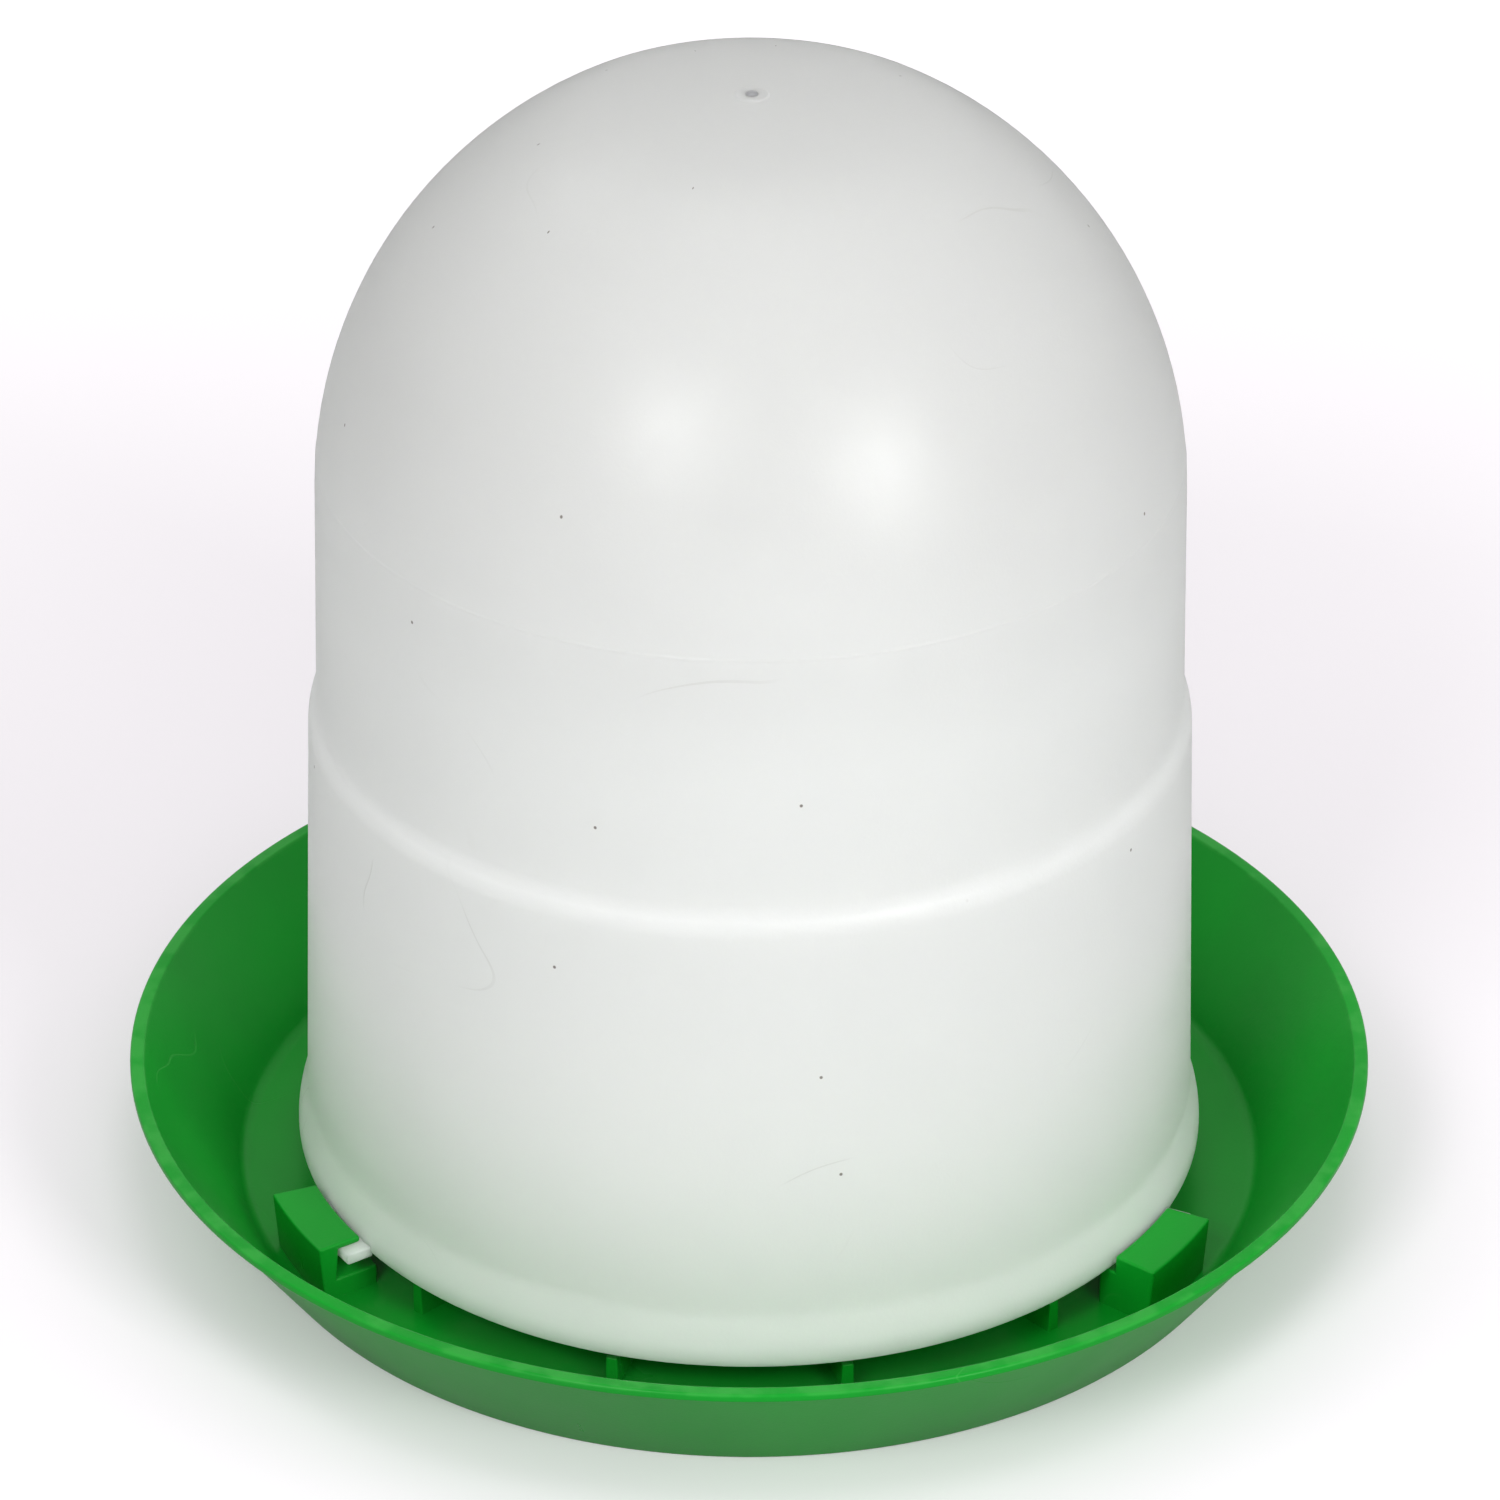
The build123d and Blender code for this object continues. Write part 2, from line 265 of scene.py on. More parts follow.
def rounded(corners, radii, closed=False, steps=CORNER_STEPS):
    """Polygon with each corner turned into an arc of its own radius.

    With unit vectors u and v from a corner along its two sides, and h half the angle between
    them, the arc's centre is the corner + radius / sin h along u + v, and the arc turns evenly
    from the foot of its centre on one side to the foot on the other.
    """
    points = np.array(corners, float)
    radii = np.array(radii, float)[:, None]
    u = np.roll(points, 1, axis=0) - points
    v = np.roll(points, -1, axis=0) - points
    u /= np.linalg.norm(u, axis=1, keepdims=True)
    v /= np.linalg.norm(v, axis=1, keepdims=True)
    middle = u + v
    middle /= np.linalg.norm(middle, axis=1, keepdims=True)
    cosine = np.sum(u * middle, axis=1, keepdims=True)
    sine = np.sqrt(1 - cosine ** 2)
    centres = points + middle * radii / sine
    from_u = points + u * radii * cosine / sine - centres
    from_v = points + v * radii * cosine / sine - centres
    turn = 2 * np.arccos(np.clip(sine, 0, 1))
    share_of_turn = np.linspace(0, 1, steps + 1)[None, :, None]
    full = turn[:, :, None]
    near = np.sin((1 - share_of_turn) * full) / np.sin(full)
    far = np.sin(share_of_turn * full) / np.sin(full)
    arcs = centres[:, None] + near * from_u[:, None] + far * from_v[:, None]
    if closed:
        return distinct(arcs.reshape(-1, 2))
    inner = arcs[1:-1].reshape(-1, 2)
    return distinct(np.vstack([points[:1], inner, points[-1:]]))


def distinct(points):
    """Outline without points that repeat the one before."""
    steps = np.linalg.norm(np.diff(points, axis=0), axis=1)
    return points[np.concatenate([[True], steps > JOINED])]


# --- meshes ------------------------------------------------------------------------------------

def new_piece(name, points, faces, uv=None):
    """Mesh object at the origin from points, faces and, if given, a corner-by-corner UV map."""
    mesh = bpy.data.meshes.new(name)
    mesh.from_pydata(points.tolist(), [], faces)
    if uv is not None:
        layer = mesh.uv_layers.new(name=SKIN)
        layer.data.foreach_set("uv", uv.astype(np.float32).ravel())
    mesh.shade_smooth()
    mesh.update()
    piece = bpy.data.objects.new(name, mesh)
    bpy.context.scene.collection.objects.link(piece)
    return piece


def lathe(name, outline, steps=TURN_STEPS):
    """Closed surface of revolution of an outline that starts and ends on the axis.

    A point (r, z) of the outline, turned by an angle a, is (r sin a, r cos a, z): the seam is at
    the rear. The UV map is (a times the outline's middle radius, length along the outline).
    """
    rings = outline[1:-1]
    angles = np.linspace(0, -2 * np.pi, steps, endpoint=False)
    round_x = rings[:, :1] * np.sin(angles)
    round_y = rings[:, :1] * np.cos(angles)
    round_z = np.broadcast_to(rings[:, 1:], round_x.shape)
    poles = np.array([[0, 0, outline[0, 1]], [0, 0, outline[-1, 1]]])
    points = np.vstack([np.stack([round_x, round_y, round_z], axis=-1).reshape(-1, 3), poles])

    ring, column = np.meshgrid(np.arange(len(rings) - 1), np.arange(steps), indexing="ij")
    after = (column + 1) % steps
    quads = np.stack([ring * steps + column, (ring + 1) * steps + column,
                      (ring + 1) * steps + after, ring * steps + after], axis=-1).reshape(-1, 4)
    last = (len(rings) - 1) * steps
    columns = np.arange(steps)
    nexts = (columns + 1) % steps
    first_fan = np.stack([np.full(steps, len(points) - 2), columns, nexts], axis=-1)
    last_fan = np.stack([np.full(steps, len(points) - 1), last + nexts, last + columns], axis=-1)

    along = np.concatenate([[0], np.cumsum(np.linalg.norm(np.diff(outline, axis=0), axis=1))])
    width = 2 * np.pi * outline[:, 0].max() / steps
    u = np.stack([column, column, column + 1, column + 1], axis=-1) * width
    v = along[1:][np.stack([ring, ring + 1, ring + 1, ring], axis=-1)]
    quad_uv = np.stack([u, v], axis=-1).reshape(-1, 2)
    first_uv = np.stack([np.stack([columns + 0.5, columns, columns + 1], -1) * width,
                         np.tile([along[0], along[1], along[1]], (steps, 1))], -1).reshape(-1, 2)
    last_uv = np.stack([np.stack([columns + 0.5, columns + 1, columns], -1) * width,
                        np.tile([along[-1], along[-2], along[-2]], (steps, 1))], -1).reshape(-1, 2)
    uv = np.vstack([quad_uv, first_uv, last_uv])
    return new_piece(name, points, quads.tolist() + first_fan.tolist() + last_fan.tolist(), uv)


def loft(name, sections, bevel):
    """Closed skin over closed sections of the same number of points, with its edges rounded.

    Sections is an array (section, point, xyz). Neighbouring points of neighbouring sections make
    a face, the first and last sections close the ends, and points that fall together are merged.
    """
    count, around = sections.shape[:2]
    section, point = np.meshgrid(np.arange(count - 1), np.arange(around), indexing="ij")
    after = (point + 1) % around
    quads = np.stack([section * around + point, section * around + after,
                      (section + 1) * around + after, (section + 1) * around + point], axis=-1)
    ends = [list(range(around)), list(range((count - 1) * around, count * around))]
    piece = new_piece(name, sections.reshape(-1, 3), quads.reshape(-1, 4).tolist() + ends)
    shape = bmesh.new()
    shape.from_mesh(piece.data)
    bmesh.ops.remove_doubles(shape, verts=shape.verts, dist=JOINED)
    bmesh.ops.dissolve_degenerate(shape, edges=shape.edges, dist=JOINED)
    bmesh.ops.recalc_face_normals(shape, faces=shape.faces)
    shape.to_mesh(piece.data)
    shape.free()
    rounding = piece.modifiers.new("edges", "BEVEL")
    rounding.width = bevel
    rounding.segments = BEVEL_SEGMENTS
    rounding.limit_method = "ANGLE"
    rounding.angle_limit = SHARP
    rounding.harden_normals = True
    return piece


def around_axis(radii, heights, directions):
    """Points at a radius, height and direction from +X: (r cos d, r sin d, z), as one array."""
    return np.stack(np.broadcast_arrays(radii * np.cos(directions), radii * np.sin(directions),
                                        heights), axis=-1)


def hand_over(piece, body, slot, finish, *nodes):
    """Give a finished piece its material and body, and let it stand for CAD nodes; slot is not used.
    """
    piece.data.materials.clear()
    piece.data.materials.append(finish)
    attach(piece, body)
    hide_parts(*nodes)


# --- materials ---------------------------------------------------------------------------------

class Signal:
    """A shader socket in an expression: each operator adds its Math node to the material."""

    def __init__(self, finish, socket):
        self.finish = finish
        self.socket = socket

    def math(self, operation, *values):
        return self.finish.node("ShaderNodeMath", {"operation": operation},
                                dict(enumerate(values)))

    def __add__(self, other):
        return self.math("ADD", self, other)

    def __sub__(self, other):
        return self.math("SUBTRACT", self, other)

    def __rsub__(self, other):
        return self.math("SUBTRACT", other, self)

    def __mul__(self, other):
        return self.math("MULTIPLY", self, other)

    def __abs__(self):
        return self.math("ABSOLUTE", self)

    __radd__ = __add__

    def rise(self, low, high):
        """Smooth step from 0 at low to 1 at high."""
        return self.finish.node("ShaderNodeMapRange", {"interpolation_type": "SMOOTHSTEP"},
                                {"Value": self, "From Min": low, "From Max": high})


class Finish:
    """One procedural material: its nodes are made by node(), and shine() ends it."""

    def __init__(self, name):
        self.material = bpy.data.materials.new(name)
        self.material.use_nodes = True
        self.tree = self.material.node_tree
        self.tree.nodes.clear()
        self.place = self.node("ShaderNodeTexCoord", output="Object")

    def node(self, kind, settings=None, inputs=None, output=0):
        """Add a node, apply its settings, set or link its inputs, and return an output if any."""
        made = self.tree.nodes.new(kind)
        for name, value in (settings or {}).items():
            setattr(made, name, value)
        for name, value in (inputs or {}).items():
            if isinstance(value, Signal):
                self.tree.links.new(value.socket, made.inputs[name])
            else:
                made.inputs[name].default_value = value
        if made.outputs:
            return Signal(self, made.outputs[output])

    def stretched(self, x, y, z):
        """Object coordinates with each axis scaled, for a pattern that is longer one way."""
        return self.node("ShaderNodeMapping", {}, {"Vector": self.place, "Scale": (x, y, z)})

    def noise(self, scale, detail=2.0, place=None):
        """Noise about 0.5, with features of 1 / scale metres."""
        return self.node("ShaderNodeTexNoise", {},
                         {"Vector": place or self.place, "Scale": scale, "Detail": detail})

    def mix(self, mask, low, high):
        """Colour low where the mask is 0 and high where it is 1."""
        ends = [end if isinstance(end, Signal) else (*end, 1.0) for end in (low, high)]
        return self.node("ShaderNodeMix", {"data_type": "RGBA"},
                         {0: mask, 6: ends[0], 7: ends[1]}, output=2)

    def hairs(self, scale, width, patches):
        """Thin wandering lines: where a smooth noise crosses one half, kept only in patches."""
        line = abs(self.noise(scale, detail=1.0) - 0.5)
        kept = self.noise(patches, detail=1.0).rise(low=0.60, high=0.68)
        return (1 - line.rise(width, width * 2)) * kept

    def relief(self, height, depth):
        """Normal of a surface raised by a height signal times a depth in metres."""
        return self.node("ShaderNodeBump", {}, {"Height": height, "Distance": depth,
                                                "Strength": 1.0}, output="Normal")

    def shine(self, inputs, settings=None):
        """End in a Principled surface with these inputs, and return the material."""
        surface = self.node("ShaderNodeBsdfPrincipled", settings, inputs)
        self.node("ShaderNodeOutputMaterial", {}, {"Surface": surface})
        return self.material


def white_plastic(settings):
    """Milky, slightly glossy moulded plastic with faint flow bands, specks and hairlines, and painted
    light and shade: lighter towards the mouth, darker on the crown.
    """
    found = bpy.data.materials.get("milky_tank")
    if found:
        return found
    finish = Finish("milky_tank")
    clouds = finish.noise(scale=16.0, detail=3.0)
    bands = finish.noise(scale=1.0, detail=3.0, place=finish.stretched(9.0, 9.0, 150.0))
    grain = finish.noise(scale=1800.0)
    swell = finish.noise(scale=38.0)
    hairs = finish.hairs(scale=24.0, width=0.0012, patches=30.0)
    skin = finish.node("ShaderNodeUVMap", {"uv_map": SKIN})
    cells = {"voronoi_dimensions": "2D", "feature": "F1"}
    spread = {"Vector": skin, "Scale": 26.0}
    near = finish.node("ShaderNodeTexVoronoi", cells, spread)
    chance = finish.node("ShaderNodeTexVoronoi", cells, spread, output="Color")
    picked = finish.node("ShaderNodeSeparateColor", {}, {0: chance})
    specks = (1 - near.rise(low=0.005, high=0.010)) * picked.rise(low=0.60, high=0.62)
    height = finish.node("ShaderNodeSeparateXYZ", {}, {0: finish.place}, output="Z")
    # Painted light and shade by height: the colour is lighter towards the mouth and darker on the
    # crown.
    uneven = height + (clouds - 0.5) * 0.03
    mouth_lightened = finish.mix(uneven.rise(low=0.02, high=0.09), settings.lit_mouth_tone, settings.body)
    crown_darkened = finish.mix(uneven.rise(low=0.12, high=0.18), mouth_lightened, settings.shaded_crown_tone)
    marked = finish.mix(hairs * 0.25, crown_darkened, settings.scratch)
    spotted = finish.mix(specks * 0.85, marked, settings.speck)
    rough = settings.gloss + (bands - 0.5) * 0.10 + (clouds - 0.5) * 0.06 + hairs * 0.12
    relief = swell * 0.50 + bands * 0.10 + grain * 0.04 - hairs * 0.06
    return finish.shine({
        "Base Color": spotted,
        "Roughness": rough,
        "Normal": finish.relief(relief, settings.relief),
        "IOR": 1.50,
        "Subsurface Weight": 1.0,
        "Subsurface Radius": (1.0, 1.0, 0.92),
        "Subsurface Scale": settings.depth,
    }, {"subsurface_method": "BURLEY"})


def green_plastic(settings, lip_top):
    """Solid green moulded plastic: clouds, upright flow, hairlines, and a painted highlight in
    patches along the lip's top.
    """
    found = bpy.data.materials.get("tray_green")
    if found:
        return found
    finish = Finish("tray_green")
    clouds = finish.noise(scale=22.0, detail=3.0)
    flow = finish.noise(scale=1.0, detail=3.0, place=finish.stretched(60.0, 60.0, 14.0))
    grain = finish.noise(scale=1600.0)
    hairs = finish.hairs(scale=30.0, width=0.0016, patches=26.0)
    height = finish.node("ShaderNodeSeparateXYZ", {}, {0: finish.place}, output="Z")
    # Painted highlight: the top of the lip is painted paler in patches.
    patches = finish.noise(scale=160.0).rise(low=0.42, high=0.62)
    lip_top_highlight = height.rise(low=lip_top - settings.lip_highlight_depth, high=lip_top) * patches
    body = finish.mix(clouds.rise(low=0.35, high=0.68), settings.moss, settings.leaf)
    marked = finish.mix(hairs * 0.30, body, settings.hairline_and_highlight)
    hairline_and_highlight = finish.mix(lip_top_highlight * 0.35, marked, settings.hairline_and_highlight)
    rough = (settings.gloss + (flow - 0.5) * 0.10 + (clouds - 0.5) * 0.08
             + hairs * 0.15 + lip_top_highlight * 0.10)
    relief = clouds * 0.45 + flow * 0.12 + grain * 0.05 - hairs * 0.08
    return finish.shine({
        "Base Color": hairline_and_highlight,
        "Roughness": rough,
        "Normal": finish.relief(relief, settings.relief),
        "IOR": 1.49,
        "Specular IOR Level": 0.20,
    })


# --- tank --------------------------------------------------------------------------------------

def crown_arcs(settings, apex, inset, seam_height=None):
    """Dome of the tank from its apex down: three tangent arcs, at an inset from the outside.

    Each next centre lies on the line from the last centre through the point where the arcs
    meet, so that the slope runs on. Where a seam height is given, the side's arc has extra
    points there, for the fine ridge along the mould's joint line.
    """
    bends = [settings.crown_bend, settings.shoulder_bend, settings.haunch_bend]
    slopes = [0.0, settings.crown_slope, settings.shoulder_slope, settings.haunch_slope]
    centre = np.array([0.0, apex - bends[0]])
    stretches = []
    for index, radius in enumerate(bends):
        if index:
            slope = slopes[index]
            centre = centre + (bends[index - 1] - radius) * np.array([np.sin(slope), np.cos(slope)])
        turn = np.linspace(slopes[index], slopes[index + 1], ARC_STEPS)
        if seam_height and index == len(bends) - 1:
            seam = np.arccos((seam_height - centre[1]) / radius)
            extra = seam + np.linspace(-SEAM_REACH, SEAM_REACH, SEAM_STEPS)
            turn = np.unique(np.concatenate([turn, extra]))
        stretches.append(bend(centre, radius - inset, turn))
    return distinct(np.vstack(stretches))


def tank_side(settings, inset):
    """Barrel of the tank at an inset, from just above the mouth's edge: band, flare, and step."""
    mouth_radius = reach("fount_barrel") - inset
    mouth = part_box("fount_barrel")[0].z
    flare_low = mouth + settings.mouth_band
    below_step = (settings.below_step - inset, settings.step_height)
    flare = rounded([(mouth_radius, mouth + 2 * settings.edge), (mouth_radius, flare_low),
                     (settings.barrel_radius - inset, flare_low + settings.flare), below_step],
                    [0, settings.flare_bend, settings.flare_bend, 0])
    step_top = settings.step_height + settings.step_rise
    step = eased(below_step, (settings.above_step - inset, step_top))
    return np.vstack([flare, step])


def raised_seam(outline, height, amount, spread):
    """Outline with a fine ridge: radius + amount * exp(-((z - height) / spread) squared)."""
    ridge = amount * np.exp(-((outline[:, 1] - height) / spread) ** 2)
    return outline + np.column_stack([ridge, np.zeros(len(outline))])


class WATERER_OT_tank(bpy.types.Operator):
    """Lathe the tank: a thin bell with a flared mouth, a step, a mould line and a gate disc"""
    bl_idname = "waterer.tank"
    bl_label = "Build tank"

    def execute(self, context):
        settings = context.scene.waterer.tank
        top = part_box("fount_crown")[1].z
        apex = top - settings.gate_height
        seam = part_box("fount_barrel")[1].z
        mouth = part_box("fount_barrel")[0].z
        dome = crown_arcs(settings, apex, 0.0, seam)
        on_dome = dome[dome[:, 0] > settings.gate_radius + GATE_MARGIN]
        disc_low = apex - settings.gate_radius ** 2 / (2 * settings.crown_bend)
        disc = rounded([(0, top), (settings.gate_radius - settings.gate_ease, top),
                        (settings.gate_radius, disc_low), tuple(on_dome[0])],
                       [0, GATE_BLEND, GATE_BLEND, 0])
        outside = np.vstack([disc, on_dome[1:], tank_side(settings, 0.0)[::-1]])
        outside = raised_seam(outside, seam, settings.seam, SEAM_SPREAD)
        mouth_radius = reach("fount_barrel")
        lip_top = mouth + 2 * settings.edge
        lip = rounded([(mouth_radius, lip_top), (mouth_radius, mouth),
                       (mouth_radius - settings.wall, mouth),
                       (mouth_radius - settings.wall, lip_top)],
                      [0, settings.edge, settings.edge, 0])
        inside = np.vstack([tank_side(settings, settings.wall),
                            crown_arcs(settings, apex, settings.wall)[::-1]])
        outline = distinct(np.vstack([outside[:-1], lip, inside[1:]]))
        outline[-1, 0] = 0.0
        hand_over(lathe("tank_shell", outline), TANK, WHITE, white_plastic(settings),
                  "fount_barrel", "fount_crown")
        return {"FINISHED"}


class WATERER_OT_gate(bpy.types.Operator):
    """Lathe the stub that the sprue left on the gate disc"""
    bl_idname = "waterer.gate"
    bl_label = "Build gate stub"

    def execute(self, context):
        low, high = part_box("gate_pip")
        radius = reach("gate_pip")
        corners = [                     # the stub's torn top is a little hollow
            ((0, high.z - 0.12 * MM), 0),
            ((0.25 * MM, high.z - 0.10 * MM), 0.1 * MM),
            ((0.6 * radius, high.z), 0.16 * MM),
            ((radius, low.z), 0.1 * MM),
            ((radius, low.z - 0.2 * MM), 0),
            ((0, low.z - 0.2 * MM), 0),
        ]
        outline = rounded([place for place, _ in corners], [radius for _, radius in corners])
        hand_over(lathe("gate_stub", outline, STUB_STEPS), TANK, WHITE,
                  white_plastic(context.scene.waterer.tank), "gate_pip")
        return {"FINISHED"}


# --- bayonet -----------------------------------------------------------------------------------

def clip_direction(lock, side):
    """Direction of a clip's middle, counter-clockwise from +X."""
    return lock.first + SIDES[side] * 2 * np.pi / len(SIDES)


class WATERER_OT_lugs(bpy.types.Operator):
    """Loft the three lugs: a rounded flat section carried round the tank's mouth"""
    bl_idname = "waterer.lugs"
    bl_label = "Build lugs"

    def execute(self, context):
        lock = context.scene.waterer.lock
        tank = context.scene.waterer.tank
        for side in SIDES:
            node = f"bayonet_lug_{side}"
            low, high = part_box(node)
            outer = reach(node)
            inner = reach("fount_barrel") - tank.edge
            section = rounded([(inner, low.z), (outer, low.z), (outer, high.z), (inner, high.z)],
                              [0, LUG_RIM, SOFT_EDGE, 0], closed=True)
            middle = clip_direction(lock, side)
            start = middle - lock.half_span + lock.stop + lock.lug_gap
            end = middle + lock.half_span + lock.lug_proud
            turns = np.linspace(start, end, LUG_STEPS)[:, None]
            piece = loft(f"lug_{side}", around_axis(section[:, 0], section[:, 1], turns), SOFT_EDGE)
            hand_over(piece, TANK, WHITE, white_plastic(tank), node)
        return {"FINISHED"}


class WATERER_OT_clips(bpy.types.Operator):
    """Loft the three clips: a C-shaped section carried round the trough over a rising ramp"""
    bl_idname = "waterer.clips"
    bl_label = "Build clips"

    def execute(self, context):
        lock = context.scene.waterer.lock
        tray = context.scene.waterer.tray
        for side in SIDES:
            node = f"bayonet_clip_{side}"
            piece = loft(f"clip_{side}", self.sections(lock, tray, node, side), lock.bevel)
            hand_over(piece, TRAY, GREEN, green_plastic_of(context), node)
        return {"FINISHED"}

    def sections(self, lock, tray, node, side):
        """Clip sections from the closed end to the open one.

        The ramp's height falls evenly with the direction. In the stop, the slot's two deep
        corners fall onto the flange's inner face, so that the same outline closes the slot.
        """
        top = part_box(node)[1].z
        outer = reach(node)
        start = clip_direction(lock, side) - lock.half_span
        end = start + 2 * lock.half_span
        slot = np.linspace(start + lock.stop, end, SLOT_STEPS)
        turns = np.concatenate([[start, start + lock.stop], slot])[:, None]
        closed = (np.arange(len(turns)) < 2)[:, None]
        ramp = lock.ramp_high + (turns - start) / (end - start) * (lock.ramp_low - lock.ramp_high)
        low = tray.floor_top - tray.floor_wall / 2
        flange_low = top - lock.flange
        slot_radius = np.where(closed, lock.flange_radius, lock.slot_radius)
        ledge_radius = np.where(closed, lock.flange_radius, lock.slot_radius + lock.lean / 2)
        flat = np.zeros_like(turns)
        radii = np.hstack([flat + lock.shelf_radius, flat + outer - lock.lean, flat + outer,
                           flat + lock.flange_radius, flat + lock.flange_radius, slot_radius,
                           ledge_radius, flat + lock.flange_radius, flat + lock.shelf_radius])
        heights = np.hstack([flat + low, flat + low, flat + top, flat + top, flat + flange_low,
                             flat + flange_low, ramp, ramp, ramp])
        return around_axis(radii, heights, turns)


# --- tray --------------------------------------------------------------------------------------

def green_plastic_of(context):
    """The tray's plastic, with its painted highlight along the lip's top where the frame has the lip.
    """
    return green_plastic(context.scene.waterer.tray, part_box("tray_rim")[1].z)


class WATERER_OT_tray(bpy.types.Operator):
    """Lathe the tray: raised centre, trough, sloping wall, beaded lip and foot ring"""
    bl_idname = "waterer.tray"
    bl_label = "Build tray"

    def execute(self, context):
        tray = context.scene.waterer.tray
        lip = reach("tray_rim")
        lip_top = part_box("tray_rim")[1].z
        lip_low = lip_top - tray.lip_height
        centre = reach("tray_plateau")
        centre_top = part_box("tray_plateau")[1].z
        under = tray.floor_top - tray.floor_wall
        foot_inner = tray.foot_radius - tray.foot_width
        wall_top = lip - tray.lip_inset
        lean = (wall_top - tray.foot_radius) / lip_low
        trough_corner = tray.foot_radius + lean * tray.floor_top - tray.wall
        lip_inner = lip - tray.lip_width
        edge = {name: size * MM for name, size in TRAY_EDGES.items()}
        corners = [
            ((0, centre_top), 0),
            ((centre, centre_top), edge["centre_top"]),
            ((centre, tray.floor_top), edge["centre_foot"]),
            ((trough_corner, tray.floor_top), tray.trough_bend),
            ((lip_inner, lip_top), edge["lip_inner"]),
            ((lip, lip_top), edge["lip_outer"]),
            ((lip, lip_low), edge["lip_low"]),
            ((wall_top, lip_low), edge["lip_root"]),
            ((tray.foot_radius, 0), edge["foot_outer"]),
            ((foot_inner, 0), edge["foot_inner"]),
            ((foot_inner - under, under), edge["foot_root"]),
            ((centre - tray.floor_wall, under), edge["hollow_rim"]),
            ((centre - tray.floor_wall, centre_top - tray.floor_wall), edge["hollow_top"]),
            ((0, centre_top - tray.floor_wall), 0),
        ]
        outline = rounded([place for place, _ in corners], [radius for _, radius in corners])
        hand_over(lathe("trough_tray", outline), TRAY, GREEN, green_plastic_of(context),
                  "tray_bowl", "tray_rim", "tray_plateau")
        return {"FINISHED"}


class WATERER_OT_ribs(bpy.types.Operator):
    """Loft the ribs: an upright section with a little draft, carried out from the centre"""
    bl_idname = "waterer.ribs"
    bl_label = "Build ribs"

    def execute(self, context):
        tray = context.scene.waterer.tray
        low = tray.floor_top - tray.floor_wall / 2
        foot = tray.rib_thickness / 2
        crest = foot - tray.rib_draft / 2
        start = reach("tray_plateau") - tray.floor_wall / 2
        for index in range(RIB_COUNT):
            node = f"tray_rib_{index + 1:02d}"
            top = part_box(node)[1].z
            out = np.linspace(start, reach(node), RIB_STEPS)[:, None]
            across = np.array([-foot, foot, crest, -crest])
            height = np.array([low, low, top, top])
            turn = tray.rib_first + index * 2 * np.pi / RIB_COUNT
            sections = np.stack(np.broadcast_arrays(out * np.cos(turn) - across * np.sin(turn),
                                                    out * np.sin(turn) + across * np.cos(turn),
                                                    height), axis=-1)
            piece = loft(f"rib_{index + 1:02d}", sections, SOFT_EDGE)
            hand_over(piece, TRAY, GREEN, green_plastic_of(context), node)
        return {"FINISHED"}


# --- stage -------------------------------------------------------------------------------------

# name, direction from the front and elevation in degrees, power in watts, seen in gloss
LIGHTS = (
    ("key_left", -26, 37, 5.7, True),
    ("key_right", 37, 27, 7.4, True),
    ("fill_front", 5, 27, 1.6, False),
    ("top", 10, 72, 2.0, False),
    ("side_left", -65, 27, 1.0, False),
    ("side_right", 75, 27, 1.0, False),
    ("rim_behind", -130, 45, 0.7, True),
)


def area_light(name, direction, elevation, distance, size, power):
    """Soft square light that looks at the object from a direction, counted from the front."""
    lamp = bpy.data.lights.new(name, "AREA")
    lamp.size = size
    lamp.energy = power
    light = bpy.data.objects.new(name, lamp)
    bpy.context.scene.collection.objects.link(light)
    target = Vector((0, 0, sum(corner.z for corner in cad_box) / 2))
    back = Vector((np.sin(direction) * np.cos(elevation),
                   -np.cos(direction) * np.cos(elevation), np.sin(elevation)))
    light.location = target + back * distance
    light.rotation_euler = back.to_track_quat("Z", "Y").to_euler()
    return light


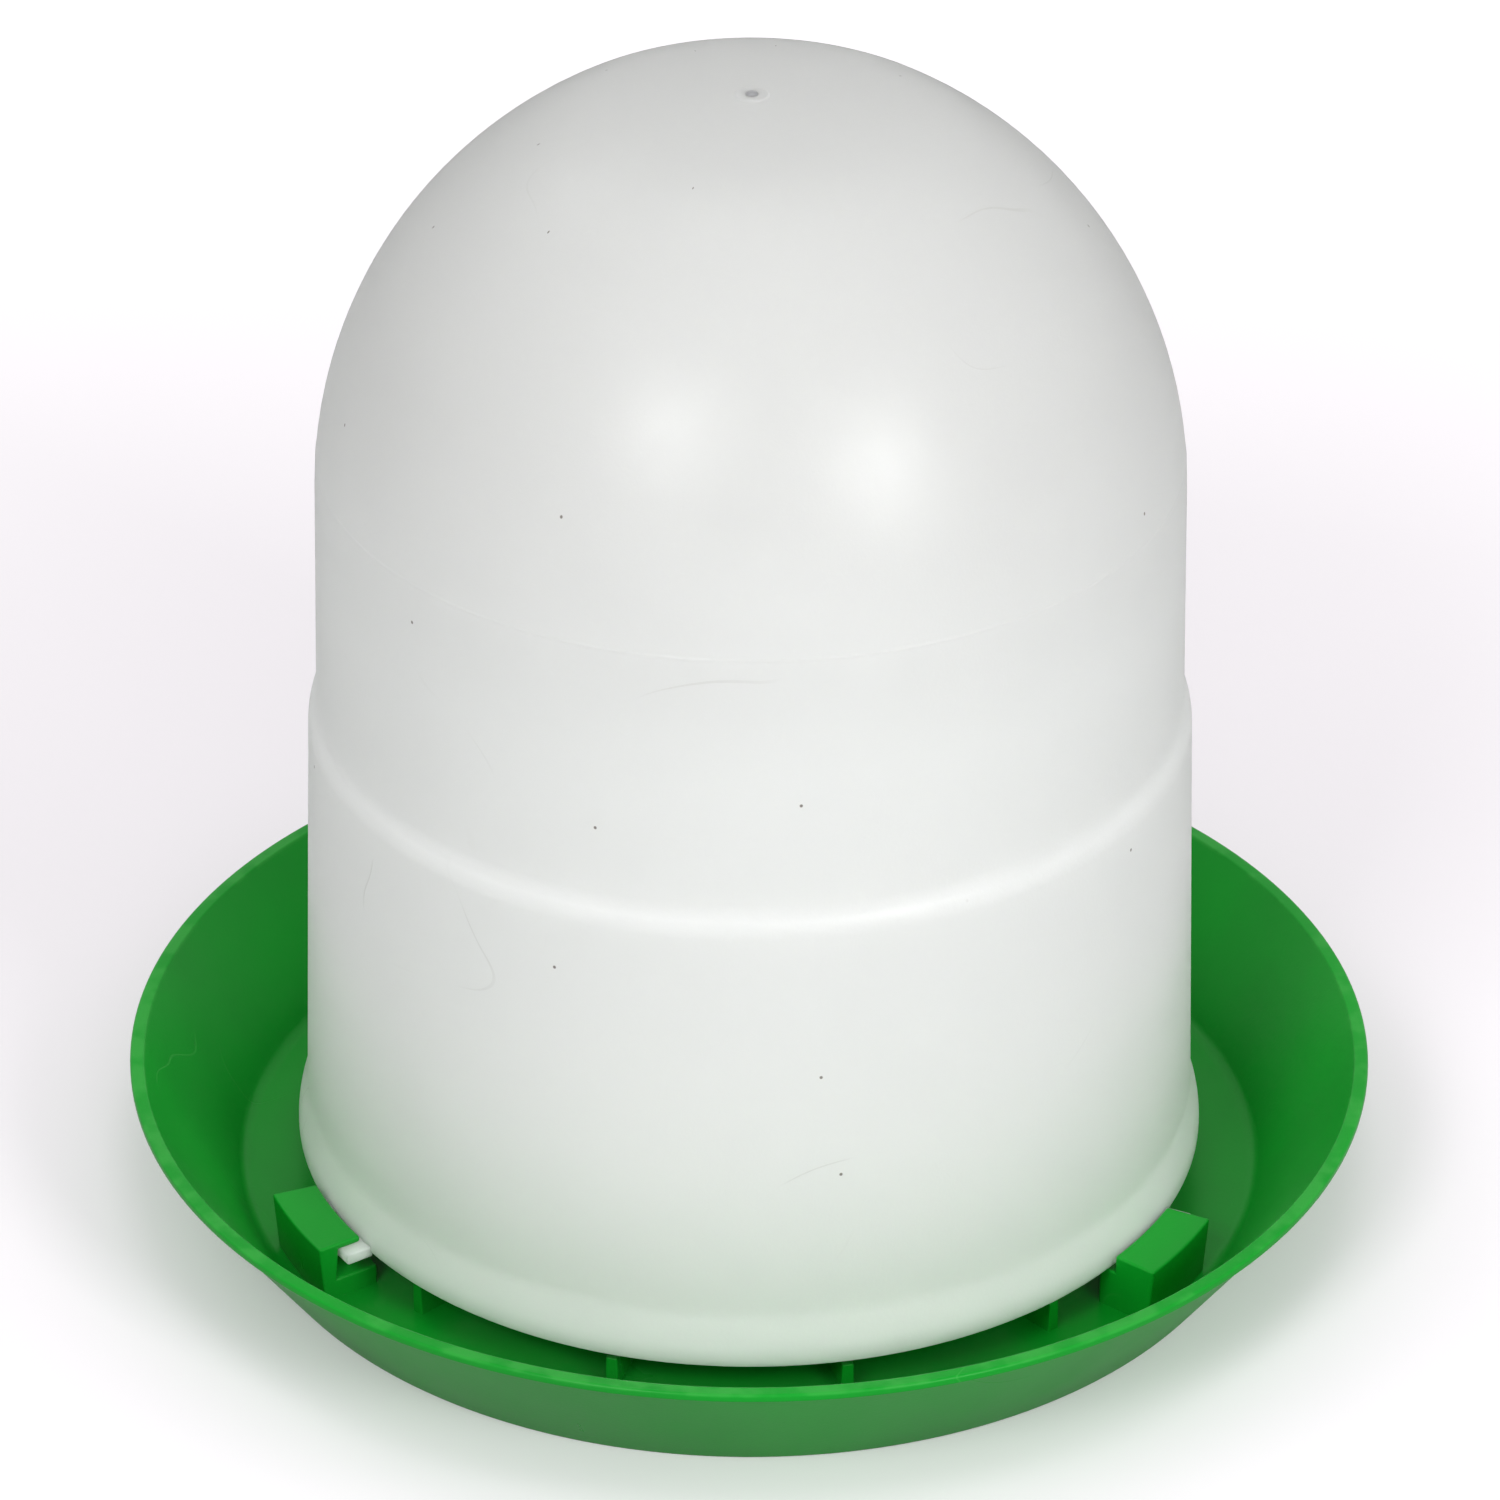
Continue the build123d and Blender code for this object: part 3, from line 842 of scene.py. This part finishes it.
class WATERER_OT_stage(bpy.types.Operator):
    """Lay the pale floor, hang the soft lights and place the camera"""
    bl_idname = "waterer.stage"
    bl_label = "Build stage"

    def execute(self, context):
        studio = context.scene.waterer.studio
        self.floor(studio)
        self.lights(studio)
        self.camera(studio)
        context.scene.view_settings.view_transform = "Standard"
        return {"FINISHED"}

    def floor(self, studio):
        """Flat disc under the object, a grid of rings round the axis."""
        radii = np.array(FLOOR_RINGS)
        angles = np.linspace(0, 2 * np.pi, FLOOR_STEPS, endpoint=False)
        ring, column = np.meshgrid(np.arange(len(radii) - 1), np.arange(len(angles)), indexing="ij")
        after = (column + 1) % FLOOR_STEPS
        points = around_axis(radii[:, None], -FLOOR_GAP, angles).reshape(-1, 3)
        inner = ring * FLOOR_STEPS
        outer = inner + FLOOR_STEPS
        quads = np.stack([inner + column, outer + column, outer + after, inner + after],
                         axis=-1).reshape(-1, 4)
        ground = new_piece("studio_floor", points, quads.tolist())
        finish = Finish("studio_floor")
        seen = finish.node("ShaderNodeLightPath", output="Is Camera Ray")
        away = finish.node("ShaderNodeVectorMath", {"operation": "LENGTH"}, {0: finish.place},
                           output="Value")
        # The floor's glow is weaker near the object than far off. This paints shade round the object,
        # and painted light keeps the far floor white.
        glow = finish.mix(away.rise(low=0.15, high=0.55), studio.sheen, studio.far_sheen)
        ground.data.materials.append(finish.shine({
            "Base Color": finish.mix(seen, studio.bounce, studio.ground),
            "Roughness": 0.9,
            "Specular IOR Level": 0.1,
            "Emission Color": finish.mix(seen, (0.0, 0.0, 0.0), glow),
            "Emission Strength": 1.0,
        }))

    def lights(self, studio):
        """Even light all round, and the soft lights of the table."""
        world = bpy.data.worlds.new("studio")
        world.use_nodes = True
        background = world.node_tree.nodes["Background"]
        background.inputs["Color"].default_value = (*studio.daylight, 1.0)
        background.inputs["Strength"].default_value = studio.ambient
        bpy.context.scene.world = world
        for name, direction, elevation, power, mirrored in LIGHTS:
            light = area_light(name, np.radians(direction), np.radians(elevation),
                               studio.light_distance, studio.light_size, power)
            light.visible_glossy = mirrored

    def camera(self, studio):
        """Camera in front, above the horizon, looking down at a point on the axis."""
        lens = bpy.data.cameras.new("camera")
        lens.lens = studio.lens
        lens.sensor_width = SENSOR_WIDTH
        lens.clip_start = 0.05
        lens.clip_end = 20.0
        camera = bpy.data.objects.new("camera", lens)
        bpy.context.scene.collection.objects.link(camera)
        back = Vector((0, -np.cos(studio.elevation), np.sin(studio.elevation)))
        camera.location = Vector((0, 0, studio.aim)) + back * studio.distance
        tilt = Matrix.Rotation(np.pi / 2 - studio.elevation, 3, "X")
        camera.rotation_euler = (tilt @ Matrix.Rotation(studio.roll, 3, "Z")).to_euler()
        bpy.context.scene.camera = camera


# --- add-on ------------------------------------------------------------------------------------

class WATERER_PT_panel(bpy.types.Panel):
    """Sizes, colours and build buttons of the waterer"""
    bl_idname = "WATERER_PT_panel"
    bl_label = "Waterer"
    bl_space_type = "VIEW_3D"
    bl_region_type = "UI"
    bl_category = "Waterer"

    def draw(self, context):
        for operator in OPERATORS:
            self.layout.operator(operator.bl_idname)
        for group in ("tank", "lock", "tray", "studio"):
            box = self.layout.box()
            box.label(text=group.capitalize())
            values = getattr(context.scene.waterer, group)
            for name in values.__annotations__:
                box.prop(values, name)


OPERATORS = (WATERER_OT_tank, WATERER_OT_gate, WATERER_OT_lugs, WATERER_OT_tray,
             WATERER_OT_ribs, WATERER_OT_clips, WATERER_OT_stage)
CLASSES = (TankSettings, LockSettings, TraySettings, StudioSettings, WatererSettings,
           *OPERATORS, WATERER_PT_panel)


def register():
    for cls in CLASSES:
        bpy.utils.register_class(cls)
    bpy.types.Scene.waterer = PointerProperty(type=WatererSettings)


def unregister():
    del bpy.types.Scene.waterer
    for cls in reversed(CLASSES):
        bpy.utils.unregister_class(cls)


def main():
    register()
    bpy.ops.waterer.tank()
    bpy.ops.waterer.gate()
    bpy.ops.waterer.lugs()
    bpy.ops.waterer.tray()
    bpy.ops.waterer.ribs()
    bpy.ops.waterer.clips()
    bpy.ops.waterer.stage()


if __name__ == "__main__":
    main()
